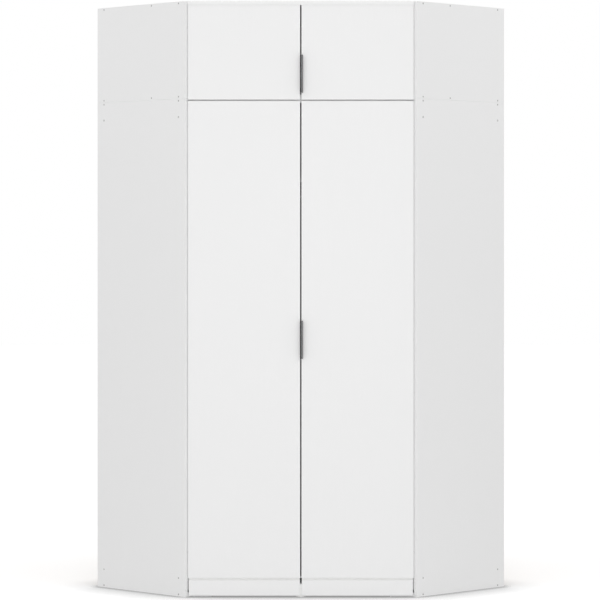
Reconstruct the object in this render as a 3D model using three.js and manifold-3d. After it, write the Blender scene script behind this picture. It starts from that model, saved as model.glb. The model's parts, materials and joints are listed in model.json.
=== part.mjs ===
// A white corner wardrobe with a diagonal front: a main carcass with a smaller top carcass stacked on it.
// Lengths are in millimetres and +Z is up. The front faces -Y, and the room corner lies behind it.
// A place beside a room wall is given as (side, along, off): side is -1 on the left and 1 on the right,
// along runs on that wall away from the room corner, and off is the distance from the wall.

import * as THREE from "three";
import { mergeVertices } from "three/addons/utils/BufferGeometryUtils.js";
import Module from "manifold-3d";

const wasm = await Module();
wasm.setup();

// Carcasses
const wallLength = 1174;
const sideDepth = 524;
const mainHeight = 1974;
const topHeight = 386;
const boardThickness = 16;
const baseHeight = 64.6;
const seatGap = 0.3;
const cutOverrun = 2;
const weldTolerance = 0.0001;

// Back panels and the grooves that hold them
const backThickness = 3;
const backInset = 6;
const grooveClearance = 0.2;
const grooveDepth = 7;
const cornerBoardBehind = 60;
const cornerBoardThickness = 16;

// Base under the bottom board
const floorRailWidth = 70;
const floorRailThickness = 16;
const baseRailThickness = 16;
const plinthUnderGap = 5.5;
const plinthHeight = 61.9;
const plinthThickness = 16;
const plinthEndGap = 4.8;
const plinthCentreGap = 7.4;
const footWidth = 24;
const footPlateWidth = 40;
const footPlateThickness = 3;
const footPlateHeight = 52;
const footTongueInset = 0.6;
const footPadInset = 6;
const doorStopWidth = 12;
const doorStopDrop = 10;
const doorStopHeight = 20;
const doorStopThickness = 2.6;

// Doors
const doorThickness = 16;
const doorEdgeGap = 1.1;
const doorCentreGap = 5.2;
const doorBottom = 75.3;
const upperDoorOverlap = 4.8;
const storeyGap = 5;
const upperDoorTopGap = 0.3;
const doorBevel = 0.8;
const boardSetback = 20;

// Concealed hinges: a cup in the door and a curved arm on the side panel
const cupHoleRadius = 17.5;
const cupHoleDepth = 13;
const cupCentreInset = 21;
const cupSideGap = 0.2;
const cupWall = 0.8;
const cupFloor = 0.8;
const cupRimWidth = 1;
const cupRimThickness = 1.3;
const cupWingHeight = 56;
const cupWingWidth = 16;
const cupWingCorner = 5;
const cupScrewRadius = 2;
const cupScrewSpacing = 45;
const cupWingSteps = 3;
const cupSegments = 24;
const pinInset = 8.5;
const pinDepth = 6.8;
const pinRadius = 1.3;
const pinHoleRadius = 1.55;
const pinSegments = 12;
const armThickness = 2.6;
const armHeight = 10;
const armBendRadius = 12.6;
const armBendSteps = 10;
const armEyeSteps = 9;
const armReach = 62;
const armStandoff = 11;
const hingePlateStart = 22;
const hingePlateEnd = 56;
const hingePlateHeight = 48;
const hingePlateThickness = 2;
const hingeBlockStart = 26;
const lowerHingeInset = 100;
const upperHingeInset = 86;
const lowerHingeCount = 3;
const upperHingeCount = 2;

// Handles: an extruded bar with a foot, a web and a lip with a rounded front
const handleLength = 150;
const handleWidth = 11.2;
const handleReach = 19;
const handleClearance = 0.4;
const handleFootInset = 0.3;
const handleFootThickness = 2;
const handleWebThickness = 2.5;
const handleLipRise = 3;
const handleLipEdge = 1.5;
const handleLipSteps = 6;
const lowerHandleBottom = 944;
const upperHandleInset = 22;

// Shelf and what carries it
const hatSpaceHeight = 298;
const shelfThickness = 16;
const shelfSetback = 40;
const shelfSideGap = 1;
const shelfPinRadius = 2.5;
const shelfPinInsert = 8;
const shelfPinReach = 10;
const shelfPinInset = 70;
const shelfPinSegments = 12;
const bracketWidth = 40;
const bracketLeg = 30;
const bracketThickness = 2;

// Hanging rails
const railHeight = 30;
const railWidth = 15;
const railWall = 1.2;
const railDrop = 50;
const railFromWall = 260;
const railArcSteps = 8;
const socketWall = 4;
const socketDepth = 12;
const socketBase = 2.5;
const socketClearance = 0.3;
const hangerBlockSize = 44;
const hangerPlateSize = 70;
const hangerPlateThickness = 3;
const hangerStemSize = 24;

// Screw seats in the outer faces of the side panels
const screwSeatRadius = 3.6;
const screwSeatDepth = 1.2;
const screwSeatSegments = 12;
const screwFrontInset = 36.5;
const screwRearInset = 39.5;
const screwSpacing = 160;

// Places worked out from the sizes above
const roomCornerY = (wallLength + sideDepth) / Math.SQRT2;
const totalHeight = mainHeight + topHeight;
const innerFace = wallLength - boardThickness;
const boardEnd = innerFace - seatGap;
const backOuter = backInset + grooveClearance;
const backInner = backOuter + backThickness;
const boardRear = backInner + seatGap;
const topBase = mainHeight + seatGap;
const bottomBoardTop = baseHeight + boardThickness;
const mainBoardBase = mainHeight - boardThickness;
const shelfUnderside = mainBoardBase - hatSpaceHeight - shelfThickness;
const topBoardTop = topBase + boardThickness;
const roofBase = totalHeight - boardThickness;
const innerEdgeX = (innerFace - sideDepth) / Math.SQRT2;
const doorOuterX = innerEdgeX - doorEdgeGap;
const doorInnerX = doorCentreGap / 2;
const plinthTop = plinthUnderGap + plinthHeight;
const plinthOuterX = innerEdgeX - plinthEndGap;
const plinthInnerX = plinthCentreGap / 2;
const upperDoorBottom = mainHeight - upperDoorOverlap;
const lowerDoorTop = upperDoorBottom - storeyGap;
const upperDoorTop = roofBase - upperDoorTopGap;
const pinX = doorOuterX - pinInset;
const pinY = pinDepth;
const cupX = doorOuterX - cupCentreInset;
const cupRadius = cupHoleRadius - cupSideGap;
const cupBoreRadius = cupRadius - cupWall;
const cornerBoardFrontY = roomCornerY - cornerBoardBehind - cornerBoardThickness;
const cornerBoardBackY = roomCornerY - cornerBoardBehind;
const railCentreZ = shelfUnderside - railDrop;
const sides = [["left", -1], ["right", 1]];

const finishes = {
  board: { color: 0xf1f1f2, roughness: 0.5, metalness: 0 },
  backing: { color: 0xe9e8e6, roughness: 0.7, metalness: 0 },
  steel: { color: 0xb9bbbe, roughness: 0.3, metalness: 1 },
  handle: { color: 0x505154, roughness: 0.4, metalness: 0.6 },
  whitePlastic: { color: 0xf3f3f1, roughness: 0.45, metalness: 0 },
  blackPlastic: { color: 0x17181a, roughness: 0.5, metalness: 0 },
};

// Plan geometry

function fromWall(side, along, off) {
  return new THREE.Vector2((side * (along - off)) / Math.SQRT2, roomCornerY - (along + off) / Math.SQRT2);
}

function alongOf(x, y) {
  return (roomCornerY - y + x) / Math.SQRT2;
}

// Where the line at this distance from the room corner meets the plane at frontY.
function atFront(side, along, frontY) {
  return fromWall(side, along, (roomCornerY - frontY) * Math.SQRT2 - along);
}

function halfWidthAt(y) {
  return roomCornerY - y - boardRear * Math.SQRT2;
}

function rectangle(x0, x1, y0, y1) {
  return [[x0, y0], [x1, y0], [x1, y1], [x0, y1]].map(([x, y]) => new THREE.Vector2(x, y));
}

function wallRectangle(side, along0, along1, off0, off1) {
  return [
    fromWall(side, along0, off0),
    fromWall(side, along1, off0),
    fromWall(side, along1, off1),
    fromWall(side, along0, off1),
  ];
}

function arcPoints(radius, from, to, steps) {
  const points = [];
  for (let step = 0; step <= steps; step += 1) {
    const angle = from + ((to - from) * step) / steps;
    points.push(new THREE.Vector2(radius * Math.cos(angle), radius * Math.sin(angle)));
  }
  return points;
}

// Solids

function prism(outline, bottom, top) {
  const shape = outline instanceof THREE.Shape ? outline : new THREE.Shape(outline);
  const geometry = new THREE.ExtrudeGeometry(shape, { depth: top - bottom, bevelEnabled: false });
  return geometry.translate(0, 0, bottom);
}

function toSolid(geometry) {
  const bare = geometry.clone();
  bare.deleteAttribute("normal");
  bare.deleteAttribute("uv");
  const merged = mergeVertices(bare, weldTolerance);
  const mesh = new wasm.Mesh({
    numProp: 3,
    vertProperties: Float32Array.from(merged.attributes.position.array),
    triVerts: Uint32Array.from(merged.index.array),
  });
  return new wasm.Manifold(mesh);
}

function toGeometry(solid) {
  const mesh = solid.getMesh();
  const geometry = new THREE.BufferGeometry();
  geometry.setAttribute("position", new THREE.BufferAttribute(mesh.vertProperties, 3));
  geometry.setIndex(new THREE.BufferAttribute(mesh.triVerts, 1));
  geometry.computeVertexNormals();
  return geometry;
}

function combine(bodies, cutters = []) {
  let solid = toSolid(bodies[0]);
  for (const body of bodies.slice(1)) {
    solid = solid.add(toSolid(body));
  }
  for (const cutter of cutters) {
    solid = solid.subtract(toSolid(cutter));
  }
  return toGeometry(solid);
}

// Local z runs along the wall away from the room corner, and local y is up.
function placeAlongWall(geometry, side, along, off, height) {
  const run = new THREE.Vector3(side, -1, 0).normalize();
  const up = new THREE.Vector3(0, 0, 1);
  const across = new THREE.Vector3().crossVectors(up, run);
  const start = fromWall(side, along, off);
  const matrix = new THREE.Matrix4().makeBasis(across, up, run).setPosition(start.x, start.y, height);
  return geometry.applyMatrix4(matrix);
}

function rodAlongWall(radius, segments, side, along0, along1, off, height) {
  const rod = new THREE.CylinderGeometry(radius, radius, along1 - along0, segments);
  rod.rotateX(Math.PI / 2);
  return placeAlongWall(rod, side, (along0 + along1) / 2, off, height);
}

// Local z of the outline's extrusion turns to run towards the front, and the outline's y turns upwards.
function slabTowardsFront(outline, backY, thickness, bevel = 0) {
  const shape = outline instanceof THREE.Shape ? outline : new THREE.Shape(outline);
  const geometry = new THREE.ExtrudeGeometry(shape, {
    depth: thickness - 2 * bevel,
    bevelEnabled: bevel > 0,
    bevelSegments: 1,
    bevelSize: bevel,
    bevelOffset: -bevel,
    bevelThickness: bevel,
  });
  geometry.rotateX(Math.PI / 2);
  return geometry.translate(0, backY - bevel, 0);
}

// The model

const wardrobe = new THREE.Group();
wardrobe.name = "corner_wardrobe";

function addPiece(name, geometry, finish) {
  const piece = new THREE.Mesh(geometry, new THREE.MeshStandardMaterial(finish));
  piece.name = name;
  wardrobe.add(piece);
}

// Side panels

function screwSeat(side, off, height) {
  const seatFloor = wallLength - screwSeatDepth;
  const mouth = wallLength + cutOverrun;
  return rodAlongWall(screwSeatRadius, screwSeatSegments, side, seatFloor, mouth, off, height);
}

function sidePanel(side, bottom, top, screwRows, pinHoles) {
  const panel = prism(wallRectangle(side, innerFace, wallLength, 0, sideDepth), bottom, top);
  const grooveMouth = innerFace - cutOverrun;
  const grooveFloor = innerFace + grooveDepth;
  const grooveEnd = backInner + grooveClearance;
  const groovePlan = wallRectangle(side, grooveMouth, grooveFloor, backInset, grooveEnd);
  const cutters = [prism(groovePlan, bottom - cutOverrun, top + cutOverrun)];
  for (const [height, places] of screwRows) {
    for (const off of places) {
      cutters.push(screwSeat(side, off, height));
    }
  }
  return combine([panel], [...cutters, ...pinHoles]);
}

function shelfPinHeight() {
  return shelfUnderside - seatGap - shelfPinRadius;
}

function shelfPinPlaces() {
  return [["front", sideDepth - shelfPinInset], ["rear", shelfPinInset]];
}

function shelfPinHoles(side) {
  const radius = shelfPinRadius + seatGap;
  const mouth = innerFace - cutOverrun;
  const end = innerFace + shelfPinInsert + seatGap;
  return shelfPinPlaces().map(([, off]) =>
    rodAlongWall(radius, shelfPinSegments, side, mouth, end, off, shelfPinHeight()),
  );
}

function addSidePanels() {
  const half = boardThickness / 2;
  const frontOff = sideDepth - screwFrontInset;
  const endPlaces = [frontOff, screwRearInset];
  const allPlaces = [...endPlaces, frontOff - screwSpacing];
  const mainRows = [
    [floorRailThickness / 2, endPlaces],
    [baseHeight + half, endPlaces],
    [mainHeight - half, endPlaces],
  ];
  const topRows = [
    [topBase + half, allPlaces],
    [totalHeight - half, allPlaces],
  ];
  for (const [word, side] of sides) {
    const mainPanel = sidePanel(side, 0, mainHeight, mainRows, shelfPinHoles(side));
    const topPanel = sidePanel(side, topBase, totalHeight, topRows, []);
    addPiece(`main_${word}_side`, mainPanel, finishes.board);
    addPiece(`top_${word}_side`, topPanel, finishes.board);
  }
}

// Boards of five corners between the side panels and the back panels

function mirrored(rightHalf) {
  const leftHalf = rightHalf
    .filter((point) => point.x > 0)
    .map((point) => new THREE.Vector2(-point.x, point.y))
    .reverse();
  return [...rightHalf, ...leftHalf];
}

function fiveSidedBoard(frontY) {
  return mirrored([
    atFront(1, boardEnd, frontY),
    fromWall(1, boardEnd, boardRear),
    new THREE.Vector2(0, fromWall(1, boardRear, boardRear).y),
  ]);
}

// The roof reaches the front of the doors and stops beside the side panels' front edges.
function roofBoard() {
  const cornerX = innerEdgeX - seatGap;
  const cornerY = roomCornerY + cornerX - boardEnd * Math.SQRT2;
  return mirrored([
    new THREE.Vector2(cornerX, 0),
    new THREE.Vector2(cornerX, cornerY),
    fromWall(1, boardEnd, boardRear),
    new THREE.Vector2(0, fromWall(1, boardRear, boardRear).y),
  ]);
}

function addBoards() {
  const inner = fiveSidedBoard(boardSetback);
  addPiece("main_bottom_board", prism(inner, baseHeight, bottomBoardTop), finishes.board);
  addPiece("main_top_board", prism(inner, mainBoardBase, mainHeight), finishes.board);
  addPiece("top_bottom_board", prism(inner, topBase, topBoardTop), finishes.board);
  addPiece("roof_board", prism(roofBoard(), roofBase, totalHeight), finishes.board);
}

// Back panels and rear corner boards

function addBacks() {
  const panelStart = boardRear;
  const panelEnd = innerFace + grooveDepth - seatGap;
  const spans = [["main", 0, mainHeight], ["top", topBase, totalHeight]];
  for (const [word, side] of sides) {
    const plan = wallRectangle(side, panelStart, panelEnd, backOuter, backInner);
    for (const [carcass, bottom, top] of spans) {
      addPiece(`${carcass}_back_${word}`, prism(plan, bottom, top), finishes.backing);
    }
  }
  const cornerPlan = mirrored([
    new THREE.Vector2(halfWidthAt(cornerBoardFrontY), cornerBoardFrontY),
    new THREE.Vector2(halfWidthAt(cornerBoardBackY), cornerBoardBackY),
  ]);
  const mainCorner = prism(cornerPlan, bottomBoardTop + seatGap, mainBoardBase - seatGap);
  const topCorner = prism(cornerPlan, topBoardTop + seatGap, roofBase - seatGap);
  addPiece("main_corner_board", mainCorner, finishes.board);
  addPiece("top_corner_board", topCorner, finishes.board);
}

// Base: rails on the floor, the plinth halves, the middle foot and the door stop

function addBaseRails() {
  const railInner = boardEnd - floorRailWidth;
  const railFrontY = plinthThickness + seatGap;
  const railTop = baseHeight - seatGap;
  for (const [word, side] of sides) {
    const floorPlan = [
      fromWall(side, boardEnd, boardRear),
      atFront(side, boardEnd, railFrontY),
      atFront(side, railInner, railFrontY),
      fromWall(side, railInner, boardRear),
    ];
    addPiece(`floor_rail_${word}`, prism(floorPlan, 0, floorRailThickness), finishes.board);
    const rearStart = boardRear + baseRailThickness + 2 * seatGap;
    const rearOff = boardRear + baseRailThickness;
    const rearPlan = wallRectangle(side, rearStart, railInner - seatGap, boardRear, rearOff);
    addPiece(`rear_rail_${word}`, prism(rearPlan, 0, railTop), finishes.board);
  }
  const half = baseRailThickness / 2;
  const rearY = roomCornerY - half - (boardRear + baseRailThickness) * Math.SQRT2 - 2 * seatGap;
  addPiece("middle_rail", prism(rectangle(-half, half, boardSetback, rearY), 0, railTop), finishes.board);
}

function addPlinth() {
  for (const [word, side] of sides) {
    const ends = [side * plinthInnerX, side * plinthOuterX].sort((a, b) => a - b);
    const face = rectangle(ends[0], ends[1], plinthUnderGap, plinthTop);
    const slab = slabTowardsFront(face, plinthThickness, plinthThickness, doorBevel);
    addPiece(`plinth_${word}`, slab, finishes.board);
  }
}

function addFoot() {
  const plateFront = plinthThickness + seatGap;
  const plateBack = plateFront + footPlateThickness;
  const padHalf = footWidth / 2;
  const plateHalf = footPlateWidth / 2;
  const tongueHalf = plinthInnerX - seatGap;
  const tongueBack = plateFront + footPlateThickness / 2;
  const pad = prism(rectangle(-padHalf, padHalf, footPadInset, plateBack), 0, plinthUnderGap - seatGap);
  const plate = prism(rectangle(-plateHalf, plateHalf, plateFront, plateBack), 0, footPlateHeight);
  const tongue = prism(rectangle(-tongueHalf, tongueHalf, footTongueInset, tongueBack), 0, footPlateHeight);
  addPiece("plinth_foot", combine([pad, plate, tongue]), finishes.whitePlastic);
}

function addDoorStop() {
  const half = doorStopWidth / 2;
  const backY = boardSetback - seatGap;
  const bottom = baseHeight - doorStopDrop;
  const plan = rectangle(-half, half, backY - doorStopThickness, backY);
  addPiece("door_stop", prism(plan, bottom, bottom + doorStopHeight), finishes.blackPlastic);
}

// Doors and handles

function hingeHeights(bottom, top, inset, count) {
  const first = bottom + inset;
  const step = (top - inset - first) / (count - 1);
  return Array.from({ length: count }, (_, index) => first + step * index);
}

function cupHole(side, height) {
  const length = cupHoleDepth + cutOverrun;
  const hole = new THREE.CylinderGeometry(cupHoleRadius, cupHoleRadius, length, cupSegments);
  return hole.translate(side * cupX, doorThickness - cupHoleDepth + length / 2, height);
}

function doorLeaf(side, bottom, top, heights) {
  const ends = [side * doorInnerX, side * doorOuterX].sort((a, b) => a - b);
  const face = rectangle(ends[0], ends[1], bottom, top);
  const leaf = slabTowardsFront(face, doorThickness, doorThickness, doorBevel);
  return combine([leaf], heights.map((height) => cupHole(side, height)));
}

// Section of the handle, with x measured into the door from its free edge and y forwards from its face.
function handleSection() {
  const tip = handleClearance - doorCentreGap;
  const end = tip + handleWidth;
  const lipBack = handleReach - handleLipRise - handleLipEdge;
  const footFront = seatGap + handleFootThickness;
  const webEnd = handleFootInset + handleWebThickness;
  const halfWidth = handleWidth / 2;
  const lipRadius = (halfWidth ** 2 + handleLipRise ** 2) / (2 * handleLipRise);
  const halfTurn = Math.asin(halfWidth / lipRadius);
  const quarter = Math.PI / 2;
  const lipFront = arcPoints(lipRadius, quarter - halfTurn, quarter + halfTurn, handleLipSteps).map(
    (point) => [tip + halfWidth + point.x, handleReach - lipRadius + point.y],
  );
  return [
    [handleFootInset, seatGap],
    [end, seatGap],
    [end, footFront],
    [webEnd, footFront],
    [webEnd, lipBack],
    [end, lipBack],
    ...lipFront,
    [tip, lipBack],
    [handleFootInset, lipBack],
  ].map(([x, y]) => new THREE.Vector2(doorInnerX + x, -y));
}

function addDoors() {
  const upperHandleBottom = mainHeight + upperHandleInset;
  const storeys = [
    ["lower", doorBottom, lowerDoorTop, lowerHingeInset, lowerHingeCount, lowerHandleBottom],
    ["upper", upperDoorBottom, upperDoorTop, upperHingeInset, upperHingeCount, upperHandleBottom],
  ];
  for (const [storey, bottom, top, inset, count, handleBottom] of storeys) {
    const heights = hingeHeights(bottom, top, inset, count);
    for (const [word, side] of sides) {
      addPiece(`${storey}_${word}_door`, doorLeaf(side, bottom, top, heights), finishes.board);
      heights.forEach((height, index) => addHinge(`${storey}_${word}_hinge_${index + 1}`, side, height));
    }
    const bar = prism(handleSection(), handleBottom, handleBottom + handleLength);
    addPiece(`${storey}_handle`, bar, finishes.handle);
  }
}

// Hinges

function cupBowl(side, height) {
  const front = doorThickness - cupHoleDepth + cupSideGap;
  const rimFront = doorThickness + cupSideGap;
  const rimBack = rimFront + cupRimThickness;
  const rimRadius = cupHoleRadius + cupRimWidth;
  const floor = front + cupFloor;
  const profile = [
    [0, front],
    [cupRadius, front],
    [cupRadius, rimFront],
    [rimRadius, rimFront],
    [rimRadius, rimBack],
    [cupBoreRadius, rimBack],
    [cupBoreRadius, floor],
    [0, floor],
  ].map(([radius, y]) => new THREE.Vector2(radius, y));
  return new THREE.LatheGeometry(profile, cupSegments).translate(side * cupX, 0, height);
}

function roundedRectangle(centreX, centreY, width, height, corner) {
  const shape = new THREE.Shape();
  const x = centreX - width / 2;
  const y = centreY - height / 2;
  shape.moveTo(x + corner, y);
  shape.lineTo(x + width - corner, y);
  shape.absarc(x + width - corner, y + corner, corner, -Math.PI / 2, 0);
  shape.lineTo(x + width, y + height - corner);
  shape.absarc(x + width - corner, y + height - corner, corner, 0, Math.PI / 2);
  shape.lineTo(x + corner, y + height);
  shape.absarc(x + corner, y + height - corner, corner, Math.PI / 2, Math.PI);
  shape.lineTo(x, y + corner);
  shape.absarc(x + corner, y + corner, corner, Math.PI, Math.PI * 1.5);
  return shape;
}

function outlineOf(shape, divisions) {
  const points = shape.getPoints(divisions);
  return points.filter((point, index) => point.distanceTo(points.at(index - 1)) > weldTolerance);
}

function hingeCup(side, height) {
  const wingBack = doorThickness + cupSideGap + cupRimThickness;
  const wingShape = roundedRectangle(side * cupX, height, cupWingWidth, cupWingHeight, cupWingCorner);
  const wings = slabTowardsFront(outlineOf(wingShape, cupWingSteps), wingBack, cupRimThickness);
  const boreFloor = doorThickness - cupHoleDepth + cupSideGap + cupFloor;
  const boreLength = wingBack + cutOverrun - boreFloor;
  const bore = new THREE.CylinderGeometry(cupBoreRadius, cupBoreRadius, boreLength, cupSegments);
  bore.translate(side * cupX, boreFloor + boreLength / 2, height);
  const screws = [-1, 1].map((end) => {
    const length = cupRimThickness + 2 * cutOverrun;
    const screw = new THREE.CylinderGeometry(cupScrewRadius, cupScrewRadius, length, pinSegments);
    const middleY = wingBack - cupRimThickness / 2;
    return screw.translate(side * cupX, middleY, height + (end * cupScrewSpacing) / 2);
  });
  const shell = combine([cupBowl(side, height), wings], [bore, ...screws]);
  return combine([shell, hingePin(side, height)]);
}

// The pin crosses the cup near its outer side and ends inside the cup's wall.
function hingePin(side, height) {
  const wallMiddle = (cupRadius + cupBoreRadius) / 2;
  const pin = new THREE.CylinderGeometry(pinRadius, pinRadius, 2 * cupRadius, pinSegments);
  pin.rotateX(Math.PI / 2).translate(side * pinX, pinY, height);
  const limit = new THREE.CylinderGeometry(wallMiddle, wallMiddle, cupHoleDepth, cupSegments);
  limit.translate(side * cupX, pinY, height);
  return toGeometry(toSolid(pin).intersect(toSolid(limit)));
}

// Outline of the arm, with x measured inwards and y backwards from the pin.
function armOutline(side) {
  const near = armStandoff - (innerFace - alongOf(pinX, pinY));
  const far = near + armThickness;
  const outerBend = armBendRadius + armThickness;
  const away = new THREE.Vector2(1, 1).normalize();
  const back = new THREE.Vector2(-1, 1).normalize();
  const onBar = (distance, reach) =>
    away.clone().multiplyScalar(distance).addScaledVector(back, reach);
  const farStart = onBar(far, Math.sqrt(outerBend ** 2 - far ** 2)).angle();
  const nearStart = onBar(near, Math.sqrt(armBendRadius ** 2 - near ** 2)).angle();
  const points = [
    new THREE.Vector2(outerBend, -armThickness),
    ...arcPoints(outerBend, 0, farStart, armBendSteps),
    onBar(far, armReach),
    onBar(near, armReach),
    ...arcPoints(armBendRadius, nearStart, 0, armBendSteps),
    ...arcPoints(armThickness, 0, Math.PI * 1.5, armEyeSteps),
  ];
  const toPlan = (point) => new THREE.Vector2(side * (pinX - point.x), pinY + point.y);
  const shape = new THREE.Shape(points.map(toPlan));
  const hole = arcPoints(pinHoleRadius, Math.PI * 2, 0, pinSegments).slice(1);
  shape.holes.push(new THREE.Path(hole.map(toPlan)));
  return shape;
}

function hingeArm(side, height) {
  const half = armHeight / 2;
  const arm = prism(armOutline(side), height - half, height + half);
  const plateOff = [sideDepth - hingePlateEnd, sideDepth - hingePlateStart];
  const plateInner = boardEnd - hingePlateThickness;
  const plateHalf = hingePlateHeight / 2;
  const platePlan = wallRectangle(side, plateInner, boardEnd, ...plateOff);
  const plate = prism(platePlan, height - plateHalf, height + plateHalf);
  const blockInner = innerFace - armStandoff - armThickness / 2;
  const blockOuter = boardEnd - hingePlateThickness / 2;
  const blockPlan = wallRectangle(side, blockInner, blockOuter, plateOff[0], sideDepth - hingeBlockStart);
  const block = prism(blockPlan, height - half, height + half);
  return combine([arm, plate, block]);
}

function addHinge(name, side, height) {
  addPiece(`${name}_cup`, hingeCup(side, height), finishes.steel);
  addPiece(`${name}_arm`, hingeArm(side, height), finishes.steel);
}

// Shelf, its pins and its rear bracket

function addShelf() {
  const shelfEnd = innerFace - shelfSideGap;
  const rearY = cornerBoardFrontY - seatGap;
  const plan = mirrored([
    atFront(1, shelfEnd, boardSetback + shelfSetback),
    fromWall(1, shelfEnd, boardRear),
    new THREE.Vector2(halfWidthAt(rearY), rearY),
  ]);
  addPiece("hat_shelf", prism(plan, shelfUnderside, shelfUnderside + shelfThickness), finishes.board);
  const start = innerFace - shelfPinReach;
  const end = innerFace + shelfPinInsert;
  for (const [word, side] of sides) {
    for (const [place, off] of shelfPinPlaces()) {
      const pin = rodAlongWall(shelfPinRadius, shelfPinSegments, side, start, end, off, shelfPinHeight());
      addPiece(`shelf_pin_${word}_${place}`, pin, finishes.steel);
    }
  }
  const half = bracketWidth / 2;
  const top = shelfUnderside - seatGap;
  const backY = cornerBoardFrontY - seatGap;
  const upright = prism(rectangle(-half, half, backY - bracketThickness, backY), top - bracketLeg, top);
  const ledge = prism(rectangle(-half, half, backY - bracketLeg, backY), top - bracketThickness, top);
  addPiece("shelf_bracket", combine([upright, ledge]), finishes.steel);
}

// Hanging rails, their end sockets and the corner hanger under the shelf

// Outline of the rail's oval section, grown on every side by the same amount.
function ovalBar(growth) {
  const radius = railWidth / 2 + growth;
  const lift = new THREE.Vector2(0, (railHeight - railWidth) / 2);
  const upper = arcPoints(radius, 0, Math.PI, railArcSteps).map((point) => point.add(lift));
  const lower = arcPoints(radius, Math.PI, Math.PI * 2, railArcSteps).map((point) => point.sub(lift));
  return [...upper, ...lower];
}

function addRails() {
  const blockHalf = hangerBlockSize / 2;
  const railStart = railFromWall + blockHalf - socketDepth + socketClearance;
  const socketStart = boardEnd - socketBase - socketDepth;
  const railEnd = boardEnd - socketBase - socketClearance;
  const pockets = [];
  for (const [word, side] of sides) {
    const section = new THREE.Shape(ovalBar(0));
    section.holes.push(new THREE.Path(ovalBar(-railWall)));
    const bar = prism(section, 0, railEnd - railStart);
    const rail = placeAlongWall(bar, side, railStart, railFromWall, railCentreZ);
    addPiece(`hanging_rail_${word}`, rail, finishes.steel);
    const bodyBar = prism(ovalBar(socketClearance + socketWall), 0, boardEnd - socketStart);
    const body = placeAlongWall(bodyBar, side, socketStart, railFromWall, railCentreZ);
    const mouthBar = prism(ovalBar(socketClearance), -cutOverrun, socketDepth);
    const mouth = placeAlongWall(mouthBar, side, socketStart, railFromWall, railCentreZ);
    addPiece(`rail_socket_${word}`, combine([body], [mouth]), finishes.steel);
    const pocketBar = prism(ovalBar(socketClearance), 0, socketDepth + cutOverrun);
    const pocketStart = railFromWall + blockHalf - socketDepth;
    pockets.push(placeAlongWall(pocketBar, side, pocketStart, railFromWall, railCentreZ));
  }
  addPiece("rail_corner_hanger", cornerHanger(blockHalf, pockets), finishes.steel);
}

function hangerSquare(half) {
  const low = railFromWall - half;
  const high = railFromWall + half;
  return wallRectangle(1, low, high, low, high);
}

function cornerHanger(blockHalf, pockets) {
  const top = shelfUnderside - seatGap;
  const blockRise = railHeight / 2 + socketWall;
  const block = prism(hangerSquare(blockHalf), railCentreZ - blockRise, railCentreZ + blockRise);
  const stem = prism(hangerSquare(hangerStemSize / 2), railCentreZ, top);
  const plate = prism(hangerSquare(hangerPlateSize / 2), top - hangerPlateThickness, top);
  return combine([block, stem, plate], pockets);
}

addSidePanels();
addBoards();
addBacks();
addBaseRails();
addPlinth();
addFoot();
addDoorStop();
addDoors();
addShelf();
addRails();

// The origin is on the floor, at the middle of the space that the wardrobe takes up.
const rearmostY = fromWall(1, boardRear, backOuter).y;
wardrobe.position.y = -(rearmostY - handleReach) / 2;

export default wardrobe;
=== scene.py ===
import json
import math
import bmesh
import bpy
import numpy as np
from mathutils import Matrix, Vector


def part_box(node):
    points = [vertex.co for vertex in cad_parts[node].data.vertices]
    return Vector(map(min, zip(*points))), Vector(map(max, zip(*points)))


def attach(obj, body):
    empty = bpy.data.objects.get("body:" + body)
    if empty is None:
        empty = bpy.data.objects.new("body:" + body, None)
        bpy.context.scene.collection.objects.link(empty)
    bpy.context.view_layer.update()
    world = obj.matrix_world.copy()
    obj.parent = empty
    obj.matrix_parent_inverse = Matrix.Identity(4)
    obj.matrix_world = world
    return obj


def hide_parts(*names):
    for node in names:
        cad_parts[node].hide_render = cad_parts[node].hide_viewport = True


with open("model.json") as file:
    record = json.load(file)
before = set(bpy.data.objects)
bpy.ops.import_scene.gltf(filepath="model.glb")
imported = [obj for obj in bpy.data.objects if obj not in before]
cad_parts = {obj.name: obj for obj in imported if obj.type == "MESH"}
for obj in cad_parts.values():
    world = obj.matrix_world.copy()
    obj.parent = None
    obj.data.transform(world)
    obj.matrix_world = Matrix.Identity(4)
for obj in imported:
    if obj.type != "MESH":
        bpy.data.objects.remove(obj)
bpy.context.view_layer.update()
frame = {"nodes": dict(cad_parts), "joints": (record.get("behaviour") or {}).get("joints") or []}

nodes = frame["nodes"]
rightwards, backwards, up = np.eye(3)
halfRoot = math.sqrt(0.5)
sideWords = {"left": -1, "right": 1}
storeys = {"lower": 3, "upper": 2}               # hinges on each door


# Places

boardThickness = 0.016
seatGap = 0.0003                                 # left between pieces that touch
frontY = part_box("lower_right_door")[0].y         # the plane of the doors' faces
sideLow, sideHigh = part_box("main_right_side")
wallLength = sideHigh.x / halfRoot
sideDepth = (sideHigh.x - sideLow.x) / halfRoot - boardThickness
boardFace = wallLength - boardThickness          # the side panels' inner faces, measured along the wall
cornerY = sideHigh.y + boardFace * halfRoot      # where the two room walls meet
print("frame loaded:", len(nodes), "nodes")


# A point given along a room wall from the corner, off the wall and above the floor.
def fromWall(side, along, off, height):
    along, off, height = np.broadcast_arrays(along, off, height)
    x = side * (along - off) * halfRoot
    return np.stack([x, cornerY - (along + off) * halfRoot, height], axis=-1)


# The direction along a room wall away from the corner, and the one straight off that wall.
def wallAxes(side):
    run = np.array([side * halfRoot, -halfRoot, 0.0])
    cross = np.array([-side * halfRoot, -halfRoot, 0.0])
    return run, cross


# Half way up a node, where the screws and nails of a board sit.
def midHeight(node):
    low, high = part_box(node)
    return (low.z + high.z) / 2


# Mesh making

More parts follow.
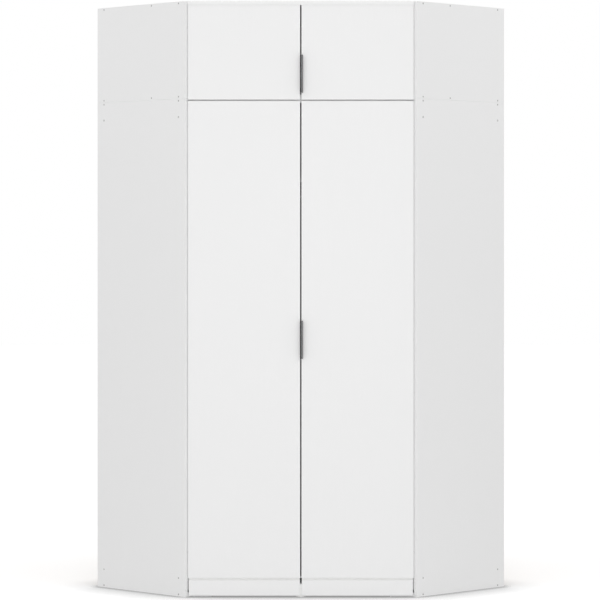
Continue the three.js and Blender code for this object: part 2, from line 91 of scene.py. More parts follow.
# Quads between neighbouring rows of a grid of points, where the last column joins the first.
def gridFaces(rows, columns, closeRows=False):
    r, c = np.meshgrid(np.arange(rows if closeRows else rows - 1), np.arange(columns), indexing="ij")
    nextRow, nextColumn = (r + 1) % rows, (c + 1) % columns
    corners = [(r, c), (r, nextColumn), (nextRow, nextColumn), (nextRow, c)]
    return np.stack([row * columns + column for row, column in corners], axis=-1).reshape(-1, 4).tolist()


# Rings of points joined into a skin, with a flat face on the first and the last ring.
def skin(rings, capped=True, closeRows=False):
    rows, columns = rings.shape[:2]
    faces = gridFaces(rows, columns, closeRows)
    if capped:
        faces += [list(range(columns)), list(range((rows - 1) * columns, rows * columns))]
    return rings.reshape(-1, 3), faces


# Three directions at right angles, the third one along the given direction.
def axesAlong(direction):
    steep = 0.9
    w = np.array(direction, float) / np.linalg.norm(direction)
    u = np.cross(up if abs(w[2]) < steep else rightwards, w)
    u /= np.linalg.norm(u)
    return u, np.cross(w, u), w


# A flat outline carried along its own normal: point = origin + x u + y v + height w.
def carried(outline, origin, axes, heights):
    u, v, w = axes
    flat = outline[:, :1] * u + outline[:, 1:] * v
    return skin(np.array(origin) + flat[None] + np.array(heights)[:, None, None] * w)


# A profile of radius and height turned about an axis: point = centre + r cos(a) u + r sin(a) v + h w.
def turned(profile, centre, direction, segments, capped=True, closeRows=False):
    u, v, w = axesAlong(direction)
    angle = np.linspace(0, 2 * math.pi, segments, endpoint=False)
    circle = np.cos(angle)[:, None] * u + np.sin(angle)[:, None] * v
    profile = np.array(profile, float)
    rings = np.array(centre) + profile[:, 0, None, None] * circle[None] + profile[:, 1, None, None] * w
    return skin(rings, capped, closeRows)


# A screw's head with a six-sided socket: the rings run from the rim over the top and down into the socket.
# Each ring gives its shares of the radius, of the height and of the six-sided form.
headRings = [(1, 0, 0), (1, 0.7, 0), (0.9, 1, 0), (0.55, 1, 0), (0.46, 0.94, 1), (0.44, 0.2, 1)]


def screwHead(centre, direction, radius, height, segments=24):
    u, v, w = axesAlong(direction)
    angle = np.linspace(0, 2 * math.pi, segments, endpoint=False)
    hexagon = math.cos(math.pi / 6) / np.cos(np.mod(angle, math.pi / 3) - math.pi / 6)
    rings = []
    for widthShare, heightShare, sixShare in headRings:
        r = radius * widthShare * (1 + sixShare * (hexagon - 1))
        spot = r[:, None] * (np.cos(angle)[:, None] * u + np.sin(angle)[:, None] * v)
        rings.append(np.array(centre) + spot + height * heightShare * w)
    return skin(np.array(rings))


# A rectangle with round corners about the origin: a quarter circle, its mirror image, and both turned over.
def rounded(width, height, corner, steps):
    angle = np.linspace(0, math.pi / 2, steps)
    bend = corner * np.stack([np.cos(angle), np.sin(angle)], axis=1)
    first = np.array([width / 2 - corner, height / 2 - corner]) + bend
    second = first[::-1] * [-1, 1]
    return np.vstack([first, second, -first, -second])


# Points on a circle about the origin from one angle to another: x = r cos(a), y = r sin(a).
def arc(radius, start, end, steps):
    angle = np.linspace(start, end, steps)
    return radius * np.stack([np.cos(angle), np.sin(angle)], axis=1)


# One piece from closed shells of points and faces, riding on a body in a material slot.
def makePiece(name, shells, material, body, replaced=(), sharpAngle=35, bevel=0.0, bevelSteps=2):
    vertices, faces, start = [], [], 0
    for points, cells in shells:
        vertices.append(points)
        faces += [[index + start for index in cell] for cell in cells]
        start += len(points)
    mesh = bpy.data.meshes.new(name)
    mesh.from_pydata(np.vstack(vertices).tolist(), [], faces)
    work = bmesh.new()
    work.from_mesh(mesh)
    bmesh.ops.recalc_face_normals(work, faces=work.faces)
    work.to_mesh(mesh)
    work.free()
    mesh.shade_smooth()
    mesh.set_sharp_from_angle(angle=math.radians(sharpAngle))
    mesh.materials.append(material)
    piece = bpy.data.objects.new(name, mesh)
    bpy.context.scene.collection.objects.link(piece)
    if bevel:
        edge = piece.modifiers.new("edges", "BEVEL")
        edge.width = bevel
        edge.segments = bevelSteps
        edge.limit_method = "ANGLE"
        edge.angle_limit = math.radians(sharpAngle)
        edge.harden_normals = True
    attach(piece, body)
    if replaced:
        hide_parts(*replaced)


# Materials

# A new material with its node tree and its shader.
def startMaterial(name):
    material = bpy.data.materials.new(name)
    material.use_nodes = True
    return material, material.node_tree, material.node_tree.nodes["Principled BSDF"]


# A node with its inputs set or linked, by name or by number.
def addNode(tree, kind, inputs=None, **settings):
    node = tree.nodes.new(kind)
    for key, value in settings.items():
        setattr(node, key, value)
    for key, value in (inputs or {}).items():
        if hasattr(value, "is_output"):
            tree.links.new(value, node.inputs[key])
        else:
            node.inputs[key].default_value = value
    return node


# One sum on two values or outputs.
def maths(tree, operation, a, b=0.0):
    return addNode(tree, "ShaderNodeMath", {0: a, 1: b}, operation=operation).outputs[0]


# The piece's own coordinates, turned about the upright axis and scaled.
def objectPoint(tree, turn=0.0, scale=(1, 1, 1)):
    place = addNode(tree, "ShaderNodeTexCoord").outputs["Object"]
    inputs = {"Vector": place, "Rotation": (0, 0, turn), "Scale": scale}
    return addNode(tree, "ShaderNodeMapping", inputs).outputs[0]


# Cloudy noise, about one half on average.
def noise(tree, point, scale=1.0, detail=3.0, roughness=0.55):
    inputs = {"Vector": point, "Scale": scale, "Detail": detail, "Roughness": roughness}
    return addNode(tree, "ShaderNodeTexNoise", inputs).outputs["Fac"]


# From colour a to colour b. A colour mix has its factor at input 0 and its colours at inputs 6 and 7.
def mixColour(tree, factor, a, b):
    mix = addNode(tree, "ShaderNodeMix", data_type="RGBA")
    for index, value in ((0, factor), (6, a), (7, b)):
        if hasattr(value, "is_output"):
            tree.links.new(value, mix.inputs[index])
        else:
            mix.inputs[index].default_value = value if index == 0 else (*value[:3], 1)
    return mix.outputs[2]


# A value's range mapped to a new one and held there. Most of a noise lies between 0.3 and 0.7.
def spread(tree, value, low=0.3, high=0.7, newLow=0.0, newHigh=1.0):
    inputs = {"Value": value, "From Min": low, "From Max": high, "To Min": newLow, "To Max": newHigh}
    return addNode(tree, "ShaderNodeMapRange", inputs).outputs[0]


# Fine relief on a shader from a height between zero and one.
def addBump(tree, shader, height, strength, distance):
    bump = addNode(tree, "ShaderNodeBump", {"Height": height, "Strength": strength, "Distance": distance})
    tree.links.new(bump.outputs[0], shader.inputs["Normal"])


# A colour made darker or lighter by one factor.
def tinted(colour, share):
    return tuple(channel * share for channel in colour)


# Distance from the rim of a panel's face, where the panel's low and high corners are in the turned frame.
def rimDistance(tree, point, low, high, axes):
    split = addNode(tree, "ShaderNodeSeparateXYZ", {0: point})
    nearest = None
    for axis in axes:
        for edge, factor in ((low[axis], 1.0), (high[axis], -1.0)):
            gap = maths(tree, "MULTIPLY", maths(tree, "SUBTRACT", split.outputs[axis], float(edge)), factor)
            nearest = gap if nearest is None else maths(tree, "MINIMUM", nearest, gap)
    return nearest


# A node's points as the objectPoint of the same turn gives them.
def turnedPoints(node, turn):
    points = np.array([corner.co for corner in nodes[node].data.vertices])
    c, s = math.cos(turn), math.sin(turn)
    return points @ np.array([[c, s, 0], [-s, c, 0], [0, 0, 1]])


melamine = {
    "colour": (0.868, 0.868, 0.868),
    "roughness": 0.42,
    "roughnessSpread": (-0.05, 0.07),
    "pearlScale": 1100.0,
    "pearlBump": 0.25,
    "pearlDepth": 0.00005,
    "streaks": (520, 520, 9),
    "streakRange": (0.35, 0.65),
    "streakShare": 0.988,
    "cloudScale": 2.3,
    "cloudShare": 0.99,
    "bandWidth": 0.0009,
    "bandBlur": 0.00008,
    "bandToneAndPaintedLight": 1.06,
    "jointWidth": 0.00022,
    "jointShare": 0.90,
}


# Melamine-faced board: a fine pearl grain, faint upright streaks, and an edge band with its joint line. The
# band is lighter, partly as the edge band's own tone and partly as painted light that lifts the shade along
# the edges and in the narrow grooves beside the doors.
def melamineMaterial(name, node=None, turn=0.0, axes=(0, 2)):
    look = melamine
    colour = look["colour"]
    material, tree, shader = startMaterial(name)
    point = objectPoint(tree, turn)
    pearl = noise(tree, point, look["pearlScale"], detail=2.0)
    streak = noise(tree, objectPoint(tree, turn, look["streaks"]), detail=4.0)
    cloud = noise(tree, point, look["cloudScale"], detail=2.0)
    streak = spread(tree, streak, *look["streakRange"])
    base = mixColour(tree, streak, tinted(colour, look["streakShare"]), colour)
    base = mixColour(tree, spread(tree, cloud), tinted(colour, look["cloudShare"]), base)
    low, high = (look["roughness"] + step for step in look["roughnessSpread"])
    rough = spread(tree, pearl, newLow=low, newHigh=high)
    if node:
        corners = turnedPoints(node, turn)
        rim = rimDistance(tree, point, corners.min(0), corners.max(0), axes)
        band = spread(tree, rim, look["bandWidth"], look["bandWidth"] + look["bandBlur"], 1.0, 0.0)
        fromJoint = maths(tree, "ABSOLUTE", maths(tree, "SUBTRACT", rim, look["bandWidth"]))
        joint = spread(tree, fromJoint, 0.0, look["jointWidth"] / 2, 1.0, 0.0)
        # The edge band is painted lighter: partly its own tone, partly painted light against the shade in the
        # grooves.
        base = mixColour(tree, band, base, tinted(colour, look["bandToneAndPaintedLight"]))
        base = mixColour(tree, joint, base, tinted(colour, look["jointShare"]))
    tree.links.new(base, shader.inputs["Base Color"])
    tree.links.new(rough, shader.inputs["Roughness"])
    addBump(tree, shader, pearl, look["pearlBump"], look["pearlDepth"])
    return material


hardboard = {
    "white": (0.80, 0.80, 0.79),
    "whiteShare": 0.98,
    "brown": (0.33, 0.21, 0.115),
    "darkFibre": (0.20, 0.118, 0.06),
    "fibres": (900, 900, 260),
    "fibreBump": 0.5,
    "fibreDepth": 0.00012,
    "cloudScale": 9.0,
    "cloudHigh": 0.75,
    "cloudShare": 0.35,
    "paleShare": 1.35,
    "roughInside": 0.5,
    "roughOutside": 0.85,
}


# Thin hardboard: printed white on the inside, and bare brown fibre on the side that faces the wall.
def hardboardMaterial(name, node, turn):
    look = hardboard
    material, tree, shader = startMaterial(name)
    point = objectPoint(tree, turn)
    fibre = noise(tree, objectPoint(tree, turn, look["fibres"]), detail=5.0, roughness=0.7)
    cloud = noise(tree, point, look["cloudScale"], detail=4.0)
    brown = mixColour(tree, spread(tree, fibre), look["darkFibre"], look["brown"])
    pale = spread(tree, cloud, high=look["cloudHigh"], newHigh=look["cloudShare"])
    brown = mixColour(tree, pale, brown, tinted(look["brown"], look["paleShare"]))
    white = mixColour(tree, spread(tree, cloud), tinted(look["white"], look["whiteShare"]), look["white"])
    outward = turnedPoints(node, turn)[:, 1]
    middle = float(outward.min() + outward.max()) / 2
    split = addNode(tree, "ShaderNodeSeparateXYZ", {0: point})
    outside = maths(tree, "GREATER_THAN", split.outputs[1], middle)
    rough = spread(tree, outside, 0.0, 1.0, look["roughInside"], look["roughOutside"])
    tree.links.new(mixColour(tree, outside, white, brown), shader.inputs["Base Color"])
    tree.links.new(rough, shader.inputs["Roughness"])
    addBump(tree, shader, fibre, look["fibreBump"], look["fibreDepth"])
    return material


metalLooks = {
    "nickel": {"colour": (0.60, 0.595, 0.58), "rough": 0.27, "scratch": (40, 40, 1500), "bump": 0.10},
    "chrome": {"colour": (0.74, 0.745, 0.75), "rough": 0.09, "scratch": (900, 900, 900), "bump": 0.03},
    "zinc": {"colour": (0.50, 0.50, 0.49), "rough": 0.36, "scratch": (700, 700, 700), "bump": 0.15},
}
plating = {
    "cloudScale": 60.0,
    "cloudShare": 0.9,
    "markRange": (0.25, 0.75),
    "roughLow": 0.7,             # shares of the look's roughness
    "roughHigh": 1.4,
    "depth": 0.00003,
}


# Plated steel: cloudy plating, fine tool marks and a little dulling.
def metalMaterial(name):
    look = metalLooks[name]
    material, tree, shader = startMaterial(name)
    mark = noise(tree, objectPoint(tree, scale=look["scratch"]), detail=4.0, roughness=0.6)
    cloud = noise(tree, objectPoint(tree), plating["cloudScale"])
    cloudy = tinted(look["colour"], plating["cloudShare"])
    base = mixColour(tree, spread(tree, cloud), cloudy, look["colour"])
    low, high = look["rough"] * plating["roughLow"], look["rough"] * plating["roughHigh"]
    tree.links.new(base, shader.inputs["Base Color"])
    rough = spread(tree, mark, *plating["markRange"], low, high)
    tree.links.new(rough, shader.inputs["Roughness"])
    shader.inputs["Metallic"].default_value = 1.0
    addBump(tree, shader, mark, look["bump"], plating["depth"])
    return material


anodised = {
    "colour": (0.005, 0.0051, 0.0054),
    "sheenColour": (0.012, 0.0122, 0.0127),
    "paintedHighlightColour": (0.275, 0.276, 0.281),
    "paintedHighlightFrom": 0.22,                      # share of the lip's width where the painted highlight starts
    "rough": 0.30,
    "roughnessSpread": (-0.06, 0.12),
    "brush": (5200, 5200, 45),
    "brushBump": 0.2,
    "brushDepth": 0.00003,
    "cloudScale": 35.0,
    "cloudRange": (0.35, 0.75),
    "cloudShare": 0.4,
    "lipDepth": 0.0045,
}


# Dark anodised aluminium, brushed along the bar, with a painted highlight that makes the lip lighter towards
# its right-hand edge, so that its left part reads as painted shade.
def anodisedMaterial(name, low, high):
    look = anodised
    material, tree, shader = startMaterial(name)
    brush = noise(tree, objectPoint(tree, scale=look["brush"]), detail=4.0, roughness=0.65)
    cloud = noise(tree, objectPoint(tree), look["cloudScale"], detail=2.0)
    cloud = spread(tree, cloud, *look["cloudRange"], 0.0, look["cloudShare"])
    base = mixColour(tree, spread(tree, brush), look["colour"], look["sheenColour"])
    base = mixColour(tree, cloud, base, look["sheenColour"])
    split = addNode(tree, "ShaderNodeSeparateXYZ", {0: objectPoint(tree)})
    # Painted highlight: the lip's face turns lighter towards its right-hand edge, as if lit there, and its
    # left part stays dark as painted shade.
    paintedHighlightStart = low.x + look["paintedHighlightFrom"] * (high.x - low.x)
    across = spread(tree, split.outputs[0], paintedHighlightStart, high.x)
    lipBack = low.y + look["lipDepth"]
    onLip = spread(tree, split.outputs[1], lipBack, lipBack + look["lipDepth"] / 2, 1.0, 0.0)
    base = mixColour(tree, maths(tree, "MULTIPLY", across, onLip), base, look["paintedHighlightColour"])
    smoothest, roughest = (look["rough"] + step for step in look["roughnessSpread"])
    tree.links.new(base, shader.inputs["Base Color"])
    rough = spread(tree, brush, newLow=smoothest, newHigh=roughest)
    tree.links.new(rough, shader.inputs["Roughness"])
    shader.inputs["Metallic"].default_value = 1.0
    addBump(tree, shader, brush, look["brushBump"], look["brushDepth"])
    return material


plastics = {
    "white_plastic": {"colour": (0.86, 0.86, 0.85), "rough": 0.38, "clearness": 0.0},
    "black_plastic": {"colour": (0.009, 0.009, 0.010), "rough": 0.42, "clearness": 0.0},
    "clear_buffer": {"colour": (0.80, 0.82, 0.82), "rough": 0.2, "clearness": 0.6},
    "white_profile": {"colour": (0.78, 0.78, 0.77), "rough": 0.45, "clearness": 0.0},
}
moulding = {
    "grainScale": 2600.0,
    "grainBump": 0.3,
    "grainDepth": 0.00003,
    "cloudScale": 40.0,
    "cloudShare": 0.94,
    "roughnessSpread": (-0.05, 0.08),
}


# Moulded plastic: a fine spark-eroded grain.
def plasticMaterial(name):
    look = plastics[name]
    material, tree, shader = startMaterial(name)
    grain = noise(tree, objectPoint(tree), moulding["grainScale"], detail=2.0)
    cloud = noise(tree, objectPoint(tree), moulding["cloudScale"], detail=2.0)
    cloudy = tinted(look["colour"], moulding["cloudShare"])
    base = mixColour(tree, spread(tree, cloud), cloudy, look["colour"])
    low, high = (look["rough"] + step for step in moulding["roughnessSpread"])
    tree.links.new(base, shader.inputs["Base Color"])
    tree.links.new(spread(tree, grain, newLow=low, newHigh=high), shader.inputs["Roughness"])
    shader.inputs["Transmission Weight"].default_value = look["clearness"]
    addBump(tree, shader, grain, moulding["grainBump"], moulding["grainDepth"])
    return material


nickel, chrome, zinc = (metalMaterial(name) for name in metalLooks)
whitePlastic, blackPlastic, clearBuffer, whiteProfile = (plasticMaterial(name) for name in plastics)
darkHandle = anodisedMaterial("dark_handle", *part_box("lower_handle"))
print("materials made")


# The CAD nodes keep their shapes and get their finish here.

# The same finish in every material slot of a node.
def dress(node, material):
    mesh = nodes[node].data
    if not mesh.materials:
        mesh.materials.append(material)
    for index in range(len(mesh.materials)):
        mesh.materials[index] = material


plainBoard = melamineMaterial("white_board")
for node in nodes:
    dress(node, plainBoard)
for word, side in sideWords.items():
    turn = side * math.pi / 4
    for carcass in ("main", "top"):
        panel, backing = f"{carcass}_{word}_side", f"{carcass}_back_{word}"
        dress(panel, melamineMaterial(panel, panel, turn, (1, 2)))
        dress(backing, hardboardMaterial(backing, backing, turn))
    for front in (f"plinth_{word}", f"lower_{word}_door", f"upper_{word}_door"):
        dress(front, melamineMaterial(front, front))
    for place in ("front", "rear"):
        dress(f"shelf_pin_{word}_{place}", nickel)
dress("hat_shelf", melamineMaterial("hat_shelf", "hat_shelf", 0.0, (2,)))
dress("plinth_foot", whitePlastic)
dress("door_stop", blackPlastic)
dress("shelf_bracket", nickel)
dress("rail_corner_hanger", nickel)
print("boards dressed")


# Handles: a brushed bar with a foot on the door, a web and a rounded lip.
handle = {
    "reach": 0.019,
    "lipRise": 0.003,
    "lipEdge": 0.0015,
    "lipSteps": 15,
    "foot": 0.002,
    "web": 0.0025,
    "edge": 0.00035,
    "edgeSteps": 3,
    "screwInset": 0.014,
    "screwRadius": 0.0018,
    "screwHeight": 0.0012,
}


# The section of the bar as x and reach in front of the door, with the lip's face as an arc.
def handleOutline(low, high):
    look = handle
    lipBack = look["reach"] - look["lipRise"] - look["lipEdge"]
    footFront = seatGap + look["foot"]
    half = (high.x - low.x) / 2
    radius = (half ** 2 + look["lipRise"] ** 2) / (2 * look["lipRise"])
    turn = math.asin(half / radius)
    lip = arc(radius, math.pi / 2 - turn, math.pi / 2 + turn, look["lipSteps"])
    lip += [low.x + half, look["reach"] - radius]
    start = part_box("lower_right_door")[0].x + seatGap
    webRight = start + look["web"]
    rear = [
        [start, seatGap],
        [high.x, seatGap],
        [high.x, footFront],
        [webRight, footFront],
        [webRight, lipBack],
        [high.x, lipBack],
    ]
    return np.vstack([rear, lip, [[low.x, lipBack], [start, lipBack]]]), webRight


for storey in storeys:
    low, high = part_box(f"{storey}_handle")
    outline, webRight = handleOutline(low, high)
    bar = carried(outline, (0, frontY, 0), (rightwards, -backwards, up), (low.z, high.z))
    body = f"{storey}_right_door"
    makePiece(
        f"{storey}_handle_bar", [bar], darkHandle, body, (f"{storey}_handle",),
        sharpAngle=30, bevel=handle["edge"], bevelSteps=handle["edgeSteps"],
    )
    footFront = frontY - seatGap - handle["foot"]
    screwX = (webRight + high.x) / 2
    heads = [
        screwHead((screwX, footFront, z), -backwards, handle["screwRadius"], handle["screwHeight"])
        for z in (low.z + handle["screwInset"], high.z - handle["screwInset"])
    ]
    makePiece(f"{storey}_handle_screws", heads, zinc, body)
print("handles made")


# Concealed hinges: a pressed cup with wings in the door, and a curved arm on its plate on the side panel.
hinge = {
    "cupInset": 0.0125,          # from the pin to the middle of the cup
    "cupRadius": 0.0173,
    "cupRound": 0.001,
    "boreRadius": 0.0165,
    "boreRound": 0.0008,
    "rimRadius": 0.0185,
    "rimRound": 0.0004,
    "floor": 0.0008,
    "rim": 0.0013,
    "plugRadius": 0.002,
    "plugOverlap": 0.0001,
    "wingWidth": 0.016,
    "wingHeight": 0.056,
    "wingCorner": 0.005,
    "wingSunk": 0.0001,
    "screwSpacing": 0.045,
    "screwRadius": 0.0034,
    "screwHeight": 0.0013,
    "screwSunk": 0.4,            # share of the cup screws' height that lies below the rim's face
    "pinRadius": 0.0013,
    "pinInWall": 0.0003,
    "thickness": 0.0026,
    "bend": 0.0126,
    "armHeight": 0.010,
    "standoff": 0.011,           # from the panel's face to the arm's near side
    "reach": 0.062,
    "plateFromFront": 0.056,
    "plateHeight": 0.048,
    "plateThickness": 0.002,
    "plateSpan": 0.034,
    "plateCorner": 0.006,
    "plateScrewSpacing": 0.032,
    "plateScrewHeight": 0.0016,
    "blockSpan": 0.030,
    "blockCorner": 0.0015,
    "adjusters": ((0.007, 0.0032), (0.022, 0.0028)),      # place along the plate and radius
    "adjusterHeight": 0.0012,
    "edge": 0.0003,
    "cupSegments": 64,
    "rodSegments": 24,
    "armSteps": 24,
    "wingSteps": 8,
    "wingRootSteps": 12,
    "plateSteps": 6,
    "blockSteps": 4,
}


# A bowl turned about the cup's axis, with its wings, the pin across it and the wings' screws.
def cupShells(side, pin, cupBox):
    look = hinge
    middle = (cupBox[0].z + cupBox[1].z) / 2
    centre = np.array([pin[0] - side * look["cupInset"], 0, middle])
    front, back = cupBox[0].y, cupBox[1].y
    cup, bore, rim = look["cupRadius"], look["boreRadius"], look["rimRadius"]
    rimFront, bowlFloor = back - look["rim"], front + look["floor"]
    profile = [
        (look["plugRadius"], front),
        (cup - look["cupRound"], front),
        (cup, front + look["cupRound"]),
        (cup, rimFront),
        (rim - look["rimRound"] / 2, rimFront),
        (rim, back - look["rim"] / 2),
        (rim - look["rimRound"], back),
        (bore + look["rimRound"], back),
        (bore, back - look["rimRound"]),
        (bore, bowlFloor + look["boreRound"]),
        (bore - look["boreRound"], bowlFloor),
        (look["plugRadius"], bowlFloor),
    ]
    shells = [turned(profile, centre, backwards, look["cupSegments"], closeRows=True, capped=False)]
    plug = [(look["plugRadius"] + look["plugOverlap"], height) for height in (front, bowlFloor)]
    shells.append(turned(plug, centre, backwards, look["rodSegments"]))
    wing = wingOutline()
    for end in (-1, 1):
        heights = (rimFront, back - look["wingSunk"])
        shells.append(carried(wing * [1, end], centre, (rightwards, up, backwards), heights))
    pinHalf = math.sqrt(bore ** 2 - look["cupInset"] ** 2) + look["pinInWall"]
    rod = [(look["pinRadius"], -pinHalf), (look["pinRadius"], pinHalf)]
    shells.append(turned(rod, (pin[0], pin[1], middle), up, look["rodSegments"]))
    heads = []
    for end in (-1, 1):
        sunk = look["screwHeight"] * look["screwSunk"]
        spot = centre + [0, back - sunk, end * look["screwSpacing"] / 2]
        heads.append(screwHead(spot, backwards, look["screwRadius"], look["screwHeight"]))
    return shells, heads


# A wing is the part of a rounded plate that stands out beyond the cup's rim.
def wingOutline():
    width, bore = hinge["wingWidth"], hinge["boreRadius"]
    plate = rounded(width, hinge["wingHeight"], hinge["wingCorner"], hinge["wingSteps"])
    half = math.asin(width / 2 / bore)
    inner = arc(bore, math.pi / 2 + half, math.pi / 2 - half, hinge["wingRootSteps"])
    return np.vstack([plate[plate[:, 1] > 0], inner])


# A place on the arm's straight bar, from its distance off the pin's line and its reach along the side panel.
def onBar(distance, reach):
    return halfRoot * np.array([distance - reach, distance + reach])


# The angle at which a circle round the pin meets the bar's edge.
def barAngle(radius, distance):
    x, y = onBar(distance, math.sqrt(radius ** 2 - distance ** 2))
    return math.atan2(y, x)


# The arm leaves the eye on the pin, bends round the door's edge and runs along the side panel.
def armOutline(near):
    thickness, bend, reach, steps = (hinge[key] for key in ("thickness", "bend", "reach", "armSteps"))
    far, outer = near + thickness, bend + thickness
    return np.vstack([
        [[outer, -thickness]],
        arc(outer, 0, barAngle(outer, far), steps),
        [onBar(far, reach), onBar(near, reach)],
        arc(bend, barAngle(bend, near), 0, steps),
        arc(thickness, 0, 1.5 * math.pi, steps),
    ])


# The arm, its block and its plate, with the plate's screws and the two adjusting screws.
def armShells(side, pin, armBox):
    look = hinge
    middle = (armBox[0].z + armBox[1].z) / 2
    pinAlong = (cornerY - pin[1] + side * pin[0]) * halfRoot
    outline = armOutline(look["standoff"] - (boardFace - pinAlong))
    heights = np.array([-0.5, 0.5]) * look["armHeight"]
    shells = [carried(outline, (pin[0], pin[1], middle), (-side * rightwards, backwards, up), heights)]
    run, cross = wallAxes(side)
    axes = (cross, up, run)
    plateEnd = sideDepth - look["plateFromFront"]
    plateMiddle = plateEnd + look["plateSpan"] / 2
    seat = boardFace - seatGap
    plateFace = seat - look["plateThickness"]
    plate = rounded(look["plateSpan"], look["plateHeight"], look["plateCorner"], look["plateSteps"])
    plateCentre = fromWall(side, plateFace, plateMiddle, middle)
    shells.append(carried(plate, plateCentre, axes, (0, look["plateThickness"])))
    block = rounded(look["blockSpan"], look["armHeight"], look["blockCorner"], look["blockSteps"])
    blockStart = boardFace - look["standoff"] - look["thickness"] / 2
    blockCentre = fromWall(side, blockStart, plateEnd + look["blockSpan"] / 2, middle)
    blockDepth = seat - look["plateThickness"] / 2 - blockStart
    shells.append(carried(block, blockCentre, axes, (0, blockDepth)))
    heads = []
    for end in (-1, 1):
        spot = fromWall(side, plateFace, plateMiddle, middle + end * look["plateScrewSpacing"] / 2)
        heads.append(screwHead(spot, -run, look["screwRadius"], look["plateScrewHeight"]))
    armFace = boardFace - look["standoff"] - look["thickness"]
    for place, radius in look["adjusters"]:
        spot = fromWall(side, armFace, plateEnd + place, middle)
        heads.append(screwHead(spot, -run, radius, look["adjusterHeight"]))
    return shells, heads


for joint in frame["joints"]:
    body = joint["child"]
    storey, word = body.split("_")[:2]
    side = sideWords[word]
    pin = joint["pos_m"]
    for index in range(1, storeys[storey] + 1):
        name = f"{storey}_{word}_hinge_{index}"
        shells, heads = cupShells(side, pin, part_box(f"{name}_cup"))
        makePiece(f"{name}_bowl", shells, nickel, body, (f"{name}_cup",), sharpAngle=40)
        makePiece(f"{name}_bowl_screws", heads, zinc, body)
        shells, heads = armShells(side, pin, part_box(f"{name}_arm"))
        makePiece(
            f"{name}_lever", shells, nickel, "carcass", (f"{name}_arm",),
            sharpAngle=32, bevel=hinge["edge"],
        )
        makePiece(f"{name}_lever_screws", heads, zinc, "carcass")
print("hinges made")


# Hanging rails and their end sockets, with an oval section.
rail = {
    "width": 0.015,
    "height": 0.030,
    "wall": 0.0012,
    "offWall": 0.26,
    "clearance": 0.0003,
    "socketWall": 0.004,
    "socketDepth": 0.012,
    "socketBase": 0.0025,
    "socketRound": 0.0012,
    "mouthRound": 0.0005,
}


# The rail's section grown outwards: two half circles with a straight part between them.
def oval(growth, steps=16):
    radius = rail["width"] / 2 + growth
    lift = (rail["height"] - rail["width"]) / 2
    upper = arc(radius, 0, math.pi, steps) + [0, lift]
    lower = arc(radius, math.pi, 2 * math.pi, steps) - [0, lift]
    return np.vstack([upper, lower])


# One ring of points for each pair of growth and place along the wall.
def ovalRings(side, height, pairs):
    cross = wallAxes(side)[1]
    rings = []
    for growth, along in pairs:
        section = oval(growth)
        middle = fromWall(side, along, rail["offWall"], height)
        rings.append(middle + section[:, :1] * cross + section[:, 1:] * up)
    return np.array(rings)


for word, side in sideWords.items():
    low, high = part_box(f"hanging_rail_{word}")
    height = midHeight(f"hanging_rail_{word}")
    farX, nearX = (high.x, low.x) if side > 0 else (-low.x, -high.x)
    halfX = rail["width"] / 2 * halfRoot
    startAlong = (nearX + halfX) / halfRoot + rail["offWall"]
    endAlong = (farX - halfX) / halfRoot + rail["offWall"]
    wall = rail["wall"]
    tube = ovalRings(side, height, [(0, startAlong), (0, endAlong), (-wall, endAlong), (-wall, startAlong)])
    makePiece(
        f"hanging_rail_{word}_tube", [skin(tube, False, True)], chrome, "carcass",
        (f"hanging_rail_{word}",),
    )
    socketEnd = boardFace - seatGap
    socketFloor = socketEnd - rail["socketBase"]
    socketStart = socketFloor - rail["socketDepth"]
    bore = rail["clearance"]
    outer = bore + rail["socketWall"]
    socket = ovalRings(side, height, [
        (bore, socketFloor),
        (bore, socketStart + rail["mouthRound"]),
        (bore + rail["mouthRound"], socketStart),
        (outer - rail["socketRound"], socketStart),
        (outer, socketStart + rail["socketRound"]),
        (outer, socketEnd),
    ])
    makePiece(
        f"rail_socket_{word}_cup", [skin(socket)], nickel, "carcass",
        (f"rail_socket_{word}",), sharpAngle=40,
    )
print("rails made")


# Assembly screws in the seats of the side panels, seen from outside.
screws = {
    "fromFront": {"front": 0.0365, "middle": 0.1965, "rear": 0.4845},
    "radius": 0.0034,
    "sunk": 0.0011,
    "height": 0.0009,
    "floorRow": 0.008,
    "upperRow": 1.9014,          # its heads have no seats and lie almost flush
    "flushRadius": 0.0041,
    "flushSunk": 0.0005,
}
boards = ("main_bottom_board", "main_top_board", "top_bottom_board", "roof_board")
boardLevels = {board: midHeight(board) for board in boards}
screwRows = {screws["floorRow"]: ("front", "rear"), screws["upperRow"]: ("front", "rear")}
for board, level in boardLevels.items():
    screwRows[level] = ("front", "rear") if board.startswith("main") else ("front", "middle", "rear")

for word, side in sideWords.items():
    run = wallAxes(side)[0]
    heads = []
    for height, places in screwRows.items():
        flush = height == screws["upperRow"]
        sunk = screws["flushSunk"] if flush else screws["sunk"]
        radius = screws["flushRadius"] if flush else screws["radius"]
        for place in places:
            distance = sideDepth - screws["fromFront"][place]
            spot = fromWall(side, wallLength - sunk, distance, height)
            heads.append(screwHead(spot, run, radius, screws["height"]))
    makePiece(f"side_screws_{word}", heads, zinc, "carcass")


# Nails that hold the back panels to the rear edges of the boards.
nails = {
    "radius": 0.0017,
    "topShare": 0.8,
    "height": 0.0005,
    "spacing": 0.12,
    "first": 0.06,
    "endInset": 0.03,
    "segments": 10,
}
backing = {"outer": 0.0062, "inner": 0.0092}          # the panels' two faces, measured off the wall

# Fold profile in the wide panels: a flat strip with a low crown along its middle.
profile = {
    "width": 0.022,
    "thickness": 0.001,
    "edgeShare": 0.6,
    "innerShare": 0.9,
    "endInset": 0.001,
}
half, thick = profile["width"] / 2, profile["thickness"]
edge = thick * profile["edgeShare"]
section = np.array([[-half, 0], [half, 0], [half, edge], [0, thick], [-half, edge]])

